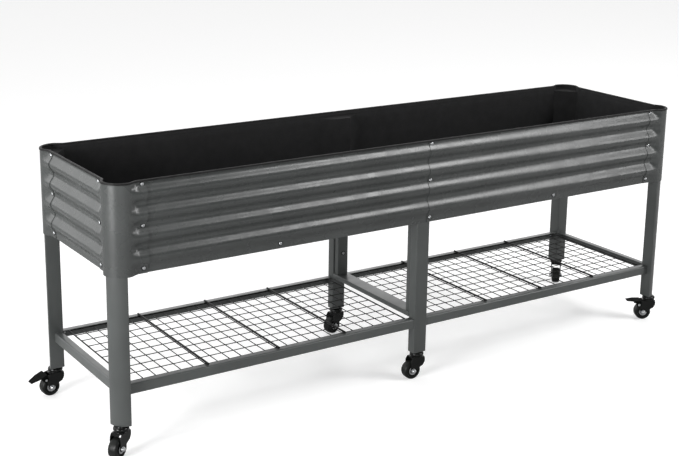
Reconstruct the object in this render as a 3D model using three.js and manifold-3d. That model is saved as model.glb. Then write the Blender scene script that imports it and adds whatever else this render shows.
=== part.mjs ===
// A long corrugated steel raised bed that stands waist high on six legs with swivel casters,
// with two wire shelves underneath. Units are millimetres, +Z is up and the front faces -Y.
import * as THREE from "three";
import { mergeVertices } from "three/addons/utils/BufferGeometryUtils.js";
import Module from "manifold-3d";

const wasm = await Module();
wasm.setup();

// ---- driving dimensions ----
const LENGTH = 2200; // outside of the bed, along X
const WIDTH = 566; // outside of the bed, along Y
const RIM_TOP = 814; // top of the rubber edge trim
const SHEET_TOP = 810;
const BED_BOTTOM = 542; // lower edge of the corrugated sheets
const CORNER_RADIUS = 55;

const WAVE_PITCH = 62.25;
const WAVE_DEPTH = 14;
const WAVE_COUNT = 4;
const LOW_BOLT_Z = 557.5; // the lowest row of bolts sits in the lowest valley
const SHEET = 1.5; // sheet steel
const GAP = 0.3; // clearance between pieces that touch
const FLANGE = 115; // reach of a corner panel along each side
const FLANGE_FLAT = 90; // full waves from here to the flange's edge
const LAP = 22; // how far a lower sheet runs under its neighbour at the middle

const LEG = { width: 47, inset: 3.5, radius: 49.5, wall: 2 };
// The middle legs stand a little left of the middle; an upright backs each of them.
const MIDDLE_LEG = { x: -9, width: 50, depth: 34, inset: 19.5, wall: 2 };
const UPRIGHT = { width: 42, depth: 22, wall: 2, play: 2 };
const LEG_BOTTOM = 92;
const LEG_TOP = 794;

const RAIL = { flange: 23, height: 30, wall: 2, inset: 22, top: 212 };
const MIDDLE_RAIL = { width: 50, height: 16, wall: 2, top: 228 };
const CROSS_BAR = { width: 40, height: 23, wall: 2, x: 548 };
const FLOOR_Z = 568.3;
const DRAINS = { along: 4, across: 2, pitch: 200, spread: 110, radius: 6 };

const WIRE = 3;
const ROD = 6; // the shelf's thick cross rods
const SHELF = { from_leg: 16.5, x1: 1032, half_width: 237.4, along: 12, across: 6 };
const SHELF_RODS = [0.25, 0.5, 0.75];
const ROD_REST = 12; // how far a rod laps onto its rail

const LINER = { inset: 20, top: 796, cloth: 1.2 };

const WHEEL = { radius: 30, width: 30, bore: 4.4, hub: 10, offset: 22, segments: 18 };
const FORK = { inside: 16.5, plate: 2.5, top: 75, front: -22, back: 24 };
const AXLE = { radius: 4, head: 7.5, head_height: 8 };
const PEDAL = { x: 40.5, z: 59, pin: 2.4, plate: 2.5, pressed: 22 };
const RACE = { radius: 23.5, bolt: 5, plug: 10, plug_height: 24 };

// Each caster: where its stem stands, which way it trails at rest, and how its brake stands.
const STEM_INSET = 27; // caster axis from the bed's outside, at a corner leg
const cornerX = LENGTH / 2 - STEM_INSET;
const cornerY = WIDTH / 2 - STEM_INSET;
const middleY = WIDTH / 2 - MIDDLE_LEG.inset - MIDDLE_LEG.depth / 2;
const CASTERS = [
  { name: "front_left", x: -cornerX, y: -cornerY, trails: 212 },
  { name: "front_middle", x: MIDDLE_LEG.x, y: -middleY, trails: 176 },
  { name: "front_right", x: cornerX, y: -cornerY, trails: 152, brake: "released" },
  { name: "back_left", x: -cornerX, y: cornerY, trails: 184, brake: "pressed" },
  { name: "back_middle", x: MIDDLE_LEG.x, y: middleY, trails: 194 },
  { name: "back_right", x: cornerX, y: cornerY, trails: 230 },
];

// ---- materials ----
const finish = (color, roughness, metalness) =>
  new THREE.MeshStandardMaterial({ color, roughness, metalness });
const greyPaint = finish(0x5f6463, 0.42, 0.35);
const blackRubber = finish(0x121212, 0.75, 0);
const blackCloth = finish(0x0f0f0f, 0.95, 0);
const blackSteel = finish(0x1a1c1b, 0.4, 0.5);
const wheelRubber = finish(0x191b1a, 0.6, 0);
const brightZinc = finish(0xc9cbcc, 0.25, 1);

// ---- helpers ----
const toSolid = (geometry) => {
  const bare = geometry.clone();
  bare.deleteAttribute("normal");
  bare.deleteAttribute("uv");
  const merged = mergeVertices(bare, 1e-4);
  return new wasm.Manifold(
    new wasm.Mesh({
      numProp: 3,
      vertProperties: new Float32Array(merged.attributes.position.array),
      triVerts: new Uint32Array(merged.index.array),
    }),
  );
};

const toGeometry = (solid) => {
  const mesh = solid.getMesh();
  const geometry = new THREE.BufferGeometry();
  geometry.setAttribute("position", new THREE.BufferAttribute(mesh.vertProperties, 3));
  geometry.setIndex(new THREE.BufferAttribute(mesh.triVerts, 1));
  geometry.computeVertexNormals();
  return geometry;
};

const union = (...geometries) =>
  toGeometry(geometries.map(toSolid).reduce((sum, next) => sum.add(next)));
const cut = (geometry, ...tools) =>
  toGeometry(tools.map(toSolid).reduce((left, tool) => left.subtract(tool), toSolid(geometry)));

const box = (x0, x1, y0, y1, z0, z1) =>
  new THREE.BoxGeometry(x1 - x0, y1 - y0, z1 - z0).translate(
    (x0 + x1) / 2,
    (y0 + y1) / 2,
    (z0 + z1) / 2,
  );

const outline = (points) => new THREE.Shape(points.map(([x, y]) => new THREE.Vector2(x, y)));
const extrude = (shape, depth) =>
  new THREE.ExtrudeGeometry(shape, { depth, bevelEnabled: false, curveSegments: 8 });

// Local x, y and the extruded z turned to world axes.
const basis = (xAxis, yAxis, zAxis) =>
  new THREE.Matrix4().makeBasis(
    new THREE.Vector3(...xAxis),
    new THREE.Vector3(...yAxis),
    new THREE.Vector3(...zAxis),
  );
const ALONG_X = basis([0, 1, 0], [0, 0, 1], [1, 0, 0]);
const ALONG_Y = basis([1, 0, 0], [0, 0, 1], [0, -1, 0]);

const bed = new THREE.Group();
const place = (name, geometry, material, parent = bed) => {
  const mesh = new THREE.Mesh(geometry, material);
  mesh.name = name;
  parent.add(mesh);
  return mesh;
};

// ---- the corrugation ----
// Rows of a sheet from its lower to its upper edge: height, and depth of the wave there.
const waveRows = () => {
  const rows = [{ z: BED_BOTTOM, depth: WAVE_DEPTH }];
  for (let wave = 0; wave < WAVE_COUNT; wave++) {
    for (const [phase, depth] of [
      [1 / 8, WAVE_DEPTH],
      [3 / 8, 0],
      [5 / 8, 0],
      [7 / 8, WAVE_DEPTH],
    ])
      rows.push({ z: LOW_BOLT_Z + (wave + phase) * WAVE_PITCH, depth });
  }
  rows.push({ z: SHEET_TOP, depth: WAVE_DEPTH });
  return rows;
};
const ROWS = waveRows();

// A straight corrugated sheet's cross-section, as inset from the bed's outside and height.
const sheetSection = (layer) => {
  const offset = layer * (SHEET + GAP);
  const outer = ROWS.map(({ z, depth }) => [depth + offset, z]);
  const inner = ROWS.map(({ z, depth }) => [depth + offset + SHEET, z]).reverse();
  return outline([...outer, ...inner]);
};

const sidePanel = (x0, x1, layer) =>
  extrude(sheetSection(layer), x1 - x0)
    .applyMatrix4(ALONG_X)
    .translate(x0, -WIDTH / 2, 0);
const endPanel = () => {
  const half = WIDTH / 2 - FLANGE_FLAT;
  return extrude(sheetSection(1), 2 * half)
    .applyMatrix4(ALONG_Y)
    .translate(-LENGTH / 2, half, 0);
};

// Stations round the front left corner, from the end flange's edge to the side flange's edge:
// a point on the outside, the direction inwards, and how much of the wave is there.
const cornerStations = (reach) => {
  const flange = [
    [reach, 1],
    [FLANGE_FLAT, 1],
    [CORNER_RADIUS, 0],
  ].filter(([s], i, all) => i === 0 || s !== all[i - 1][0]);
  const x0 = -LENGTH / 2;
  const y0 = -WIDTH / 2;
  const end = flange.map(([s, wave]) => ({ x: x0, y: y0 + s, ix: 1, iy: 0, wave }));
  const side = flange.map(([s, wave]) => ({ x: x0 + s, y: y0, ix: 0, iy: 1, wave })).reverse();
  const arc = [];
  const steps = 6;
  for (let i = 1; i < steps; i++) {
    const angle = (i / steps) * (Math.PI / 2);
    const ix = Math.cos(angle);
    const iy = Math.sin(angle);
    arc.push({
      x: x0 + CORNER_RADIUS * (1 - ix),
      y: y0 + CORNER_RADIUS * (1 - iy),
      ix,
      iy,
      wave: 0,
    });
  }
  return [...end, ...arc, ...side];
};

// A closed shell over a grid of stations and rows, pointAt giving its outer and inner skins.
const shellOf = (columns, rows, pointAt) => {
  const position = [];
  const index = [];
  for (const skin of [0, 1])
    for (let c = 0; c < columns; c++)
      for (let r = 0; r < rows; r++) position.push(...pointAt(c, r, skin));
  const at = (c, r, skin) => (skin * columns + c) * rows + r;
  const quad = (a, b, c, d) => index.push(a, b, c, a, c, d);
  for (let c = 0; c + 1 < columns; c++)
    for (let r = 0; r + 1 < rows; r++) {
      quad(at(c, r, 0), at(c + 1, r, 0), at(c + 1, r + 1, 0), at(c, r + 1, 0));
      quad(at(c, r + 1, 1), at(c + 1, r + 1, 1), at(c + 1, r, 1), at(c, r, 1));
    }
  for (let c = 0; c + 1 < columns; c++) {
    quad(at(c + 1, 0, 0), at(c, 0, 0), at(c, 0, 1), at(c + 1, 0, 1));
    quad(at(c, rows - 1, 0), at(c + 1, rows - 1, 0), at(c + 1, rows - 1, 1), at(c, rows - 1, 1));
  }
  for (let r = 0; r + 1 < rows; r++) {
    quad(at(0, r, 0), at(0, r + 1, 0), at(0, r + 1, 1), at(0, r, 1));
    quad(
      at(columns - 1, r + 1, 0),
      at(columns - 1, r, 0),
      at(columns - 1, r, 1),
      at(columns - 1, r + 1, 1),
    );
  }
  const geometry = new THREE.BufferGeometry();
  geometry.setAttribute("position", new THREE.Float32BufferAttribute(position, 3));
  geometry.setIndex(index);
  return geometry;
};

const cornerPanel = () => {
  const stations = cornerStations(FLANGE);
  return shellOf(stations.length, ROWS.length, (c, r, skin) => {
    const s = stations[c];
    const inset = ROWS[r].depth * s.wave + skin * SHEET;
    return [s.x + s.ix * inset, s.y + s.iy * inset, ROWS[r].z];
  });
};

// ---- the bed ----
const betweenMiddleLegs = middleY - MIDDLE_LEG.depth / 2 - GAP;
// How far the middle legs reach to each side of the bed's middle.
const middleLegReach = {
  left: MIDDLE_LEG.width / 2 - MIDDLE_LEG.x,
  right: MIDDLE_LEG.width / 2 + MIDDLE_LEG.x,
};
const mirrored = (mesh, sx, sy) => mesh.scale.set(sx, sy, 1);
const QUARTERS = [
  ["front_left", 1, 1],
  ["front_right", -1, 1],
  ["back_left", 1, -1],
  ["back_right", -1, -1],
];

const makeBedWalls = () => {
  const corner = cornerPanel();
  for (const [where, sx, sy] of QUARTERS)
    mirrored(place(`corner_panel_${where}`, corner, greyPaint), sx, sy);
  const reach = LENGTH / 2 - FLANGE_FLAT;
  const under = sidePanel(-reach, LAP, 2);
  const over = sidePanel(0, reach, 1);
  for (const [side, sy] of [["front", 1], ["back", -1]]) {
    mirrored(place(`side_panel_${side}_left`, under, greyPaint), 1, sy);
    mirrored(place(`side_panel_${side}_right`, over, greyPaint), 1, sy);
  }
  for (const [side, sx] of [["left", 1], ["right", -1]])
    mirrored(place(`end_panel_${side}`, endPanel(), greyPaint), sx, 1);
};

// A U-shaped rubber strip pushed over the sheets' upper edges, all the way round.
const makeRimTrim = () => {
  const wall = 1.4;
  const groove = 3 * (SHEET + GAP) + GAP; // three lapped sheets fit in it
  const start = -GAP - wall;
  const floor = SHEET_TOP + GAP;
  const skirt = RIM_TOP - 9;
  const section = [
    [start, skirt],
    [start, RIM_TOP],
    [start + groove + 2 * wall, RIM_TOP],
    [start + groove + 2 * wall, skirt],
    [start + groove + wall, skirt],
    [start + groove + wall, floor],
    [start + wall, floor],
    [start + wall, skirt],
  ];
  const quarter = cornerStations(FLANGE_FLAT);
  const turned = (list, sx, sy) =>
    list.map((s) => ({ ...s, x: s.x * sx, y: s.y * sy, ix: s.ix * sx, iy: s.iy * sy }));
  const ring = [
    ...turned(quarter, 1, 1),
    ...turned([...quarter].reverse(), -1, 1),
    ...turned(quarter, -1, -1),
    ...turned([...quarter].reverse(), 1, -1),
  ];
  const position = [];
  const index = [];
  for (const s of ring)
    for (const [across, z] of section) {
      const inset = WAVE_DEPTH * s.wave + across;
      position.push(s.x + s.ix * inset, s.y + s.iy * inset, z);
    }
  const n = section.length;
  for (let c = 0; c < ring.length; c++)
    for (let p = 0; p < n; p++) {
      const next = (c + 1) % ring.length;
      const q = (p + 1) % n;
      index.push(c * n + p, next * n + p, next * n + q, c * n + p, next * n + q, c * n + q);
    }
  const geometry = new THREE.BufferGeometry();
  geometry.setAttribute("position", new THREE.Float32BufferAttribute(position, 3));
  geometry.setIndex(index);
  place("rim_trim", geometry, blackRubber);
};

// The cloth bag that holds the soil. Its outline goes round the inner faces of the legs.
const linerOutline = (inwards) => {
  const clear = 3;
  const x = LENGTH / 2 - LINER.inset - inwards;
  const y = WIDTH / 2 - LINER.inset - inwards;
  const legReach = LEG.inset + LEG.width - LINER.inset;
  const tuck = legReach + clear;
  const slope = 2 * tuck;
  const half = MIDDLE_LEG.width / 2 + clear + inwards;
  const depth = MIDDLE_LEG.inset + MIDDLE_LEG.depth + clear - LINER.inset;
  const corner = [
    [-x, -y + slope],
    [-x + tuck, -y + tuck],
    [-x + slope, -y],
  ];
  const middle = [
    [-half - depth, -y],
    [-half, -y + depth],
    [half, -y + depth],
    [half + depth, -y],
  ].map(([px, py]) => [px + MIDDLE_LEG.x, py]);
  const flip = (points, sx, sy) => points.map(([px, py]) => [px * sx, py * sy]).reverse();
  const front = [...corner, ...middle, ...flip(corner, -1, 1)];
  return outline([...front, ...flip(front, 1, -1)]);
};

const makeLiner = () => {
  const bottom = FLOOR_Z + SHEET + GAP;
  const height = LINER.top - bottom;
  const outside = extrude(linerOutline(0), height).translate(0, 0, bottom);
  const inside = extrude(linerOutline(LINER.cloth), height).translate(0, 0, bottom + LINER.cloth);
  place("liner", cut(outside, inside), blackCloth);
};

// The floor sheet of the left half, notched round the legs, with drain holes.
const floorSheet = (middleX) => {
  const clear = 0.6;
  const x0 = -LENGTH / 2 + MIDDLE_LEG.inset + clear;
  const y0 = -WIDTH / 2 + MIDDLE_LEG.inset + clear;
  const legX = -LENGTH / 2 + LEG.inset + LEG.width + clear;
  const legY = -WIDTH / 2 + LEG.inset + LEG.width + clear;
  const middleEdge = y0 + MIDDLE_LEG.depth;
  const half = [
    [legX, legY],
    [legX, y0],
    [middleX - clear, y0],
    [middleX - clear, middleEdge],
    [-clear, middleEdge],
  ];
  const flipped = half.map(([x, y]) => [x, -y]).reverse();
  const shape = outline([[x0, -legY], [x0, legY], ...half, ...flipped]);
  for (let i = 0; i < DRAINS.along; i++)
    for (const side of [-1, 1]) {
      const x = -LENGTH / 4 + (i - (DRAINS.along - 1) / 2) * DRAINS.pitch;
      const hole = new THREE.Path();
      hole.absarc(x, side * DRAINS.spread, DRAINS.radius, 0, 2 * Math.PI);
      shape.holes.push(hole);
    }
  return new THREE.ExtrudeGeometry(shape, {
    depth: SHEET,
    bevelEnabled: false,
    curveSegments: 2,
  }).translate(0, 0, FLOOR_Z);
};
const makeFloor = () => {
  place("floor_panel_left", floorSheet(-middleLegReach.left), greyPaint);
  mirrored(place("floor_panel_right", floorSheet(-middleLegReach.right), greyPaint), -1, 1);
};

// Channel bars across the bed, under its floor: one in each half, and one between the middle legs.
const makeCrossBars = () => {
  const { width, height, wall, x } = CROSS_BAR;
  const w = width / 2;
  const top = FLOOR_Z - GAP;
  const channel = outline([
    [-w, top - height],
    [-w, top],
    [w, top],
    [w, top - height],
    [w - wall, top - height],
    [w - wall, top - wall],
    [-w + wall, top - wall],
    [-w + wall, top - height],
  ]);
  const bar = (half) => extrude(channel, 2 * half).applyMatrix4(ALONG_Y).translate(0, half, 0);
  const long = bar(WIDTH / 2 - MIDDLE_LEG.inset);
  place("cross_bar_left", long, greyPaint).position.x = -x;
  place("cross_bar_right", long, greyPaint).position.x = x;
  place("cross_bar_middle", bar(betweenMiddleLegs), greyPaint).position.x = MIDDLE_LEG.x;
};

// ---- the legs ----
// A corner leg is a tube with two flat inner walls and a wide rounded outer wall.
const cornerLegOutline = (wall) => {
  const { width, inset, radius } = LEG;
  const r = radius - wall;
  const centre = inset + radius;
  const far = inset + width - wall;
  const start = Math.asin((centre - far) / r);
  const points = [[far, far]];
  const steps = 7;
  for (let i = 0; i <= steps; i++) {
    const angle = start + (i / steps) * (Math.PI / 2 - 2 * start);
    points.push([centre - r * Math.cos(angle), centre - r * Math.sin(angle)]);
  }
  return points.map(([x, y]) => [x - LENGTH / 2, y - WIDTH / 2]);
};

const path = (points) => new THREE.Path(points.map(([x, y]) => new THREE.Vector2(x, y)));

// A rectangular tube on the middle legs' line, from one height to another.
const tubeAt = (inset, width, depth, wall, z0, z1) => {
  const rectangle = (cutIn) => {
    const left = MIDDLE_LEG.x - width / 2 + cutIn;
    const right = MIDDLE_LEG.x + width / 2 - cutIn;
    const y0 = -WIDTH / 2 + inset + cutIn;
    const y1 = -WIDTH / 2 + inset + depth - cutIn;
    return [[left, y0], [right, y0], [right, y1], [left, y1]];
  };
  const section = outline(rectangle(0));
  section.holes.push(path(rectangle(wall)));
  return extrude(section, z1 - z0).translate(0, 0, z0);
};

const makeLegs = () => {
  const shape = outline(cornerLegOutline(0));
  shape.holes.push(path(cornerLegOutline(LEG.wall)));
  const leg = extrude(shape, LEG_TOP - LEG_BOTTOM).translate(0, 0, LEG_BOTTOM);
  for (const [where, sx, sy] of QUARTERS)
    mirrored(place(`leg_${where}`, leg, greyPaint), sx, sy);
  const { width, depth, inset, wall } = MIDDLE_LEG;
  const tube = tubeAt(inset, width, depth, wall, LEG_BOTTOM, LEG_TOP);
  place("leg_front_middle", tube, greyPaint);
  mirrored(place("leg_back_middle", tube, greyPaint), 1, -1);
};

// Uprights between the middle rail and the bed, close behind the middle legs.
const makeUprights = () => {
  const { width, depth, wall, play } = UPRIGHT;
  const inset = MIDDLE_LEG.inset + MIDDLE_LEG.depth + play;
  const bottom = MIDDLE_RAIL.top + GAP;
  const top = FLOOR_Z - GAP - CROSS_BAR.height - GAP;
  const tube = tubeAt(inset, width, depth, wall, bottom, top);
  place("middle_upright_front", tube, greyPaint);
  mirrored(place("middle_upright_back", tube, greyPaint), 1, -1);
};

// ---- the shelves ----
// Angle rails: an upright outer wall and a flat top flange that points inwards.
const makeShelfRails = () => {
  const { flange, height, wall, inset, top } = RAIL;
  const angle = outline([
    [inset, top - height],
    [inset + wall, top - height],
    [inset + wall, top - wall],
    [inset + flange, top - wall],
    [inset + flange, top],
    [inset, top],
  ]);
  const x0 = -LENGTH / 2 + LEG.inset + LEG.width + GAP;
  const long = (x1) =>
    extrude(angle, x1 - x0).applyMatrix4(ALONG_X).translate(x0, -WIDTH / 2, 0);
  const left = long(-middleLegReach.left - GAP);
  const right = long(-middleLegReach.right - GAP);
  for (const [where, sx, sy] of QUARTERS)
    mirrored(place(`shelf_rail_${where}`, sx > 0 ? left : right, greyPaint), sx, sy);
  const half = WIDTH / 2 - LEG.inset - LEG.width - GAP;
  const end = extrude(angle, 2 * half).applyMatrix4(ALONG_Y).translate(-LENGTH / 2, half, 0);
  place("shelf_end_rail_left", end, greyPaint);
  mirrored(place("shelf_end_rail_right", end, greyPaint), -1, 1);
};

// The rail between the middle legs is a flat channel, open below.
const makeMiddleRail = () => {
  const { width, height, wall, top } = MIDDLE_RAIL;
  const w = width / 2;
  const channel = outline([
    [-w, top - height],
    [-w + wall, top - height],
    [-w + wall, top - wall],
    [w - wall, top - wall],
    [w - wall, top - height],
    [w, top - height],
    [w, top],
    [-w, top],
  ]);
  const rail = extrude(channel, 2 * betweenMiddleLegs).applyMatrix4(ALONG_Y);
  place("shelf_middle_rail", rail.translate(MIDDLE_LEG.x, betweenMiddleLegs, 0), greyPaint);
};

// A closed plate over a grid of lines, left open in the cells that isOpen names.
const gridPlate = (xs, ys, isOpen, z0, z1) => {
  const position = [];
  for (const z of [z0, z1])
    for (const x of xs)
      for (const y of ys) position.push(x, y, z);
  const at = (i, j, level) => (level * xs.length + i) * ys.length + j;
  const inRange = (i, j) => i >= 0 && j >= 0 && i + 1 < xs.length && j + 1 < ys.length;
  const solid = (i, j) => inRange(i, j) && !isOpen(i, j);
  const index = [];
  const quad = (a, b, c, d) => index.push(a, b, c, a, c, d);
  const wall = (i, j, k, l) => quad(at(i, j, 0), at(k, l, 0), at(k, l, 1), at(i, j, 1));
  for (let i = 0; i + 1 < xs.length; i++)
    for (let j = 0; j + 1 < ys.length; j++) {
      if (!solid(i, j)) continue;
      quad(at(i, j, 1), at(i + 1, j, 1), at(i + 1, j + 1, 1), at(i, j + 1, 1));
      quad(at(i, j, 0), at(i, j + 1, 0), at(i + 1, j + 1, 0), at(i + 1, j, 0));
      if (!solid(i, j - 1)) wall(i, j, i + 1, j);
      if (!solid(i + 1, j)) wall(i + 1, j, i + 1, j + 1);
      if (!solid(i, j + 1)) wall(i + 1, j + 1, i, j + 1);
      if (!solid(i - 1, j)) wall(i, j + 1, i, j);
    }
  const geometry = new THREE.BufferGeometry();
  geometry.setAttribute("position", new THREE.Float32BufferAttribute(position, 3));
  geometry.setIndex(index);
  return geometry;
};

// A wire shelf: a welded grid hung from three thick rods that rest on the long rails.
const shelfGrid = (x0) => {
  const { x1, half_width: half, along, across } = SHELF;
  const length = x1 - x0 - WIRE;
  const width = 2 * half - WIRE;
  const wireEdges = (start, span, cells) =>
    Array.from({ length: cells + 1 }, (_, k) => start + (k / cells) * span).flatMap((edge) => [
      edge,
      edge + WIRE,
    ]);
  const xs = wireEdges(-x1, length, along);
  const ys = wireEdges(-half, width, across);
  const rodBottom = RAIL.top + GAP;
  const weld = 0.2;
  const top = rodBottom + weld;
  const net = gridPlate(xs, ys, (i, j) => i % 2 === 1 && j % 2 === 1, top - WIRE, top);
  const rodHalf = half + ROD_REST;
  const rods = SHELF_RODS.map((share) => {
    const x = -x1 + WIRE / 2 + share * length;
    return box(x - ROD / 2, x + ROD / 2, -rodHalf, rodHalf, rodBottom, rodBottom + ROD);
  });
  return union(net, ...rods);
};

const makeShelves = () => {
  makeShelfRails();
  makeMiddleRail();
  const left = shelfGrid(middleLegReach.left + SHELF.from_leg);
  const right = shelfGrid(middleLegReach.right + SHELF.from_leg);
  place("wire_shelf_left", left, blackSteel);
  mirrored(place("wire_shelf_right", right, blackSteel), -1, 1);
};

// ---- the casters ----
// Modelled with the stem's axis at x = 0 and the floor at z = 0; the wheel trails towards +x.
const lathe = (profile, segments) =>
  new THREE.LatheGeometry(profile.map(([r, h]) => new THREE.Vector2(r, h)), segments).rotateX(
    Math.PI / 2,
  );

const wheelGeometry = () => {
  const { radius, width, bore, hub, segments, offset } = WHEEL;
  const w = width / 2;
  const hubFace = FORK.inside - GAP;
  const rim = radius - 8;
  const dish = w - 4;
  const half = [
    [bore, hubFace],
    [hub, hubFace],
    [hub, dish],
    [rim, dish],
    [rim + 2, w],
    [radius - 4, w],
    [radius, w - 5],
  ];
  const other = half.map(([r, h]) => [r, -h]).reverse();
  return lathe([...half, ...other, half[0]].reverse(), segments)
    .rotateX(-Math.PI / 2)
    .translate(offset, 0, radius);
};

// Side view shapes are drawn with x along the trail and z up, and are y0 to y1 thick.
const slab = (points, y0, y1) =>
  extrude(outline(points), y1 - y0).applyMatrix4(ALONG_Y).translate(0, y1, 0);
const crossPin = (radius, halfLength, x, z, segments) =>
  new THREE.CylinderGeometry(radius, radius, 2 * halfLength, segments).translate(x, 0, z);

const forkGeometry = (braked) => {
  const { inside, plate, top, front, back } = FORK;
  const { offset, radius } = WHEEL;
  const boss = 10;
  const trailingEdge = braked
    ? [
        [offset + boss, radius],
        [PEDAL.x + 5, PEDAL.z - 5],
        [PEDAL.x + 5, PEDAL.z + 4],
      ]
    : [
        [offset + boss, radius],
        [back + 6, top - 18],
      ];
  const cheek = [
    [back, top],
    [front, top],
    [front, top - 14],
    [front + 6, top - 27],
    [offset - boss, radius - 3],
    [offset - boss * 0.6, radius - boss * 0.8],
    [offset + boss * 0.6, radius - boss * 0.8],
    ...trailingEdge,
  ].reverse();
  const outer = inside + plate;
  const crown = box(front, back, -outer, outer, top - plate, top);
  const cheeks = [slab(cheek, -outer, -inside), slab(cheek, inside, outer)];
  const kingHole = new THREE.CylinderGeometry(RACE.bolt + GAP, RACE.bolt + GAP, 20, 12)
    .rotateX(Math.PI / 2)
    .translate(0, 0, top);
  const holes = [kingHole, crossPin(AXLE.radius + GAP, 2 * outer, offset, radius, 10)];
  if (braked) holes.push(crossPin(PEDAL.pin + GAP, 2 * outer, PEDAL.x, PEDAL.z, 8));
  return cut(union(crown, ...cheeks), ...holes);
};

const axleGeometry = () => {
  const { radius, head, head_height: height } = AXLE;
  const face = FORK.inside + FORK.plate + GAP;
  const profile = [
    [0, -face - height],
    [head - 2, -face - height],
    [head, -face - height + 2],
    [head, -face],
    [radius, -face],
    [radius, face],
    [head, face],
    [head, face + height - 2],
    [head - 2, face + height],
    [0, face + height],
  ];
  return lathe(profile, 10)
    .rotateX(-Math.PI / 2)
    .translate(WHEEL.offset, 0, WHEEL.radius);
};

// The part that stays on the leg: plug, upper bearing race and king bolt.
const stemGeometry = () => {
  const { radius, bolt, plug, plug_height: height } = RACE;
  const crown = FORK.top - FORK.plate;
  const play = 0.6;
  const underside = FORK.top + play;
  const seat = LEG_BOTTOM - GAP;
  const profile = [
    [0, crown - play - 4],
    [bolt + 4, crown - play - 4],
    [bolt + 4, crown - play],
    [bolt, crown - play],
    [bolt, underside],
    [radius - 4, underside],
    [radius, underside + 5],
    [radius, underside + 11],
    [radius - 5, underside + 15],
    [radius - 6, seat],
    [plug, seat],
    [plug, LEG_BOTTOM + height],
    [0, LEG_BOTTOM + height],
  ];
  return lathe(profile, 12);
};

// A brake pedal about its own pin: a foot plate between two cheeks that stand outside the fork.
const pedalGeometry = () => {
  const { pin, plate } = PEDAL;
  const inner = FORK.inside + FORK.plate + GAP;
  const outer = inner + plate;
  const top = 16;
  const footPlate = outline([
    [-10, -outer],
    [16, -outer],
    [49, -12],
    [49, 12],
    [16, outer],
    [-10, outer],
  ]);
  const cheek = [
    [-10, top - 1],
    [-8, -3],
    [-3, -7],
    [6, -7],
    [16, top - 1],
  ];
  return union(
    extrude(footPlate, plate).translate(0, 0, top - plate),
    slab(cheek, -outer, -inner),
    slab(cheek, inner, outer),
    crossPin(pin, outer + 1.5, 0, 0, 8),
  );
};

const makeCasters = () => {
  const wheel = wheelGeometry();
  const plainFork = forkGeometry(false);
  const brakedFork = forkGeometry(true);
  const axle = axleGeometry();
  const stem = stemGeometry();
  const pedal = pedalGeometry();
  for (const { name, x, y, trails, brake } of CASTERS) {
    const caster = new THREE.Group();
    caster.position.set(x, y, 0);
    caster.rotation.z = THREE.MathUtils.degToRad(trails);
    bed.add(caster);
    place(`caster_stem_${name}`, stem, blackSteel, caster);
    place(`caster_fork_${name}`, brake ? brakedFork : plainFork, blackSteel, caster);
    place(`caster_axle_${name}`, axle, brightZinc, caster);
    place(`caster_wheel_${name}`, wheel, wheelRubber, caster);
    if (!brake) continue;
    const lever = place(`brake_pedal_${name}`, pedal, blackSteel, caster);
    lever.position.set(PEDAL.x, 0, PEDAL.z);
    lever.rotation.y = THREE.MathUtils.degToRad(brake === "pressed" ? PEDAL.pressed : 0);
  }
};

makeBedWalls();
makeRimTrim();
makeLiner();
makeFloor();
makeCrossBars();
makeLegs();
makeUprights();
makeShelves();
makeCasters();

// The origin is the middle of the whole footprint, on the floor.
const planter = new THREE.Group();
planter.add(bed);
const extent = new THREE.Box3().setFromObject(planter, true);
bed.position.x = -(extent.min.x + extent.max.x) / 2;
bed.position.y = -(extent.min.y + extent.max.y) / 2;

export default planter;
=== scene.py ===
"""Looks for a long rolling planter: walls, rim trim, liner, legs, wire shelves and casters.

Shapes are written in millimetres about the middle of the bed, with the floor at z = 0, and are
turned into metres in the frame when each mesh is made. The front faces -Y.
"""

from math import asin, cos, hypot, pi, radians, sin, tan

import bpy
from mathutils import Matrix, Vector


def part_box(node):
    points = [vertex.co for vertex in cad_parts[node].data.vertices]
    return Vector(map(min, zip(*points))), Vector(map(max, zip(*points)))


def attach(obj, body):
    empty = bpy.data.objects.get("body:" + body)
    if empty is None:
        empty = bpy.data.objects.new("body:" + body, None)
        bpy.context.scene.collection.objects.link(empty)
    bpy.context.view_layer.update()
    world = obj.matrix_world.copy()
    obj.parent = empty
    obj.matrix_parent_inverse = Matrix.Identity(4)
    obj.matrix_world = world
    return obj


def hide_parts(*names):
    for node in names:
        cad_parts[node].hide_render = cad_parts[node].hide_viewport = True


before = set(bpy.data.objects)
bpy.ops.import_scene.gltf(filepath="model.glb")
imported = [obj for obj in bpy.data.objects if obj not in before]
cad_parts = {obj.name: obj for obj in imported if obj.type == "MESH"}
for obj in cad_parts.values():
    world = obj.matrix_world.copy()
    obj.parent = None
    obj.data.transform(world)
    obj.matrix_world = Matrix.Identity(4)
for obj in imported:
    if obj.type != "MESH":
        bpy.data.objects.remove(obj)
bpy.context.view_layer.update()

# ---- driving dimensions, as in the solids ----
MM = 0.001
LENGTH, WIDTH = 2200, 566
RIM_TOP, SHEET_TOP, BED_BOTTOM = 814, 810, 542
CORNER_RADIUS = 55
WAVE_PITCH, WAVE_DEPTH, WAVE_COUNT = 62.25, 14, 4
LOW_BOLT_Z = 557.5
SHEET = 1.2  # a wall sheet's thickness
LAYER = 1.8  # the step from one lapped sheet to the next
FLANGE, FLANGE_FLAT = 115, 90  # a corner panel's reach along a side, and where its waves are full
LAP = 22  # of the two long panels at the middle
GAP = 0.3  # between parts that lie against each other
SEAM_BOLT = 104  # a corner seam's bolts, from the corner
MIDDLE_BOLT_X = 11
PANEL_BOLT, RAIL_BOLT = 5.2, 4.2  # radius of the head
TOP_ROW_DROP = 4.5  # the top row of bolts sits below its valley's middle
UPRIGHT_BOLT_Z = 308
RAIL_BOLT_X, RAIL_BOLT_Z = 1036, 198
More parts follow.
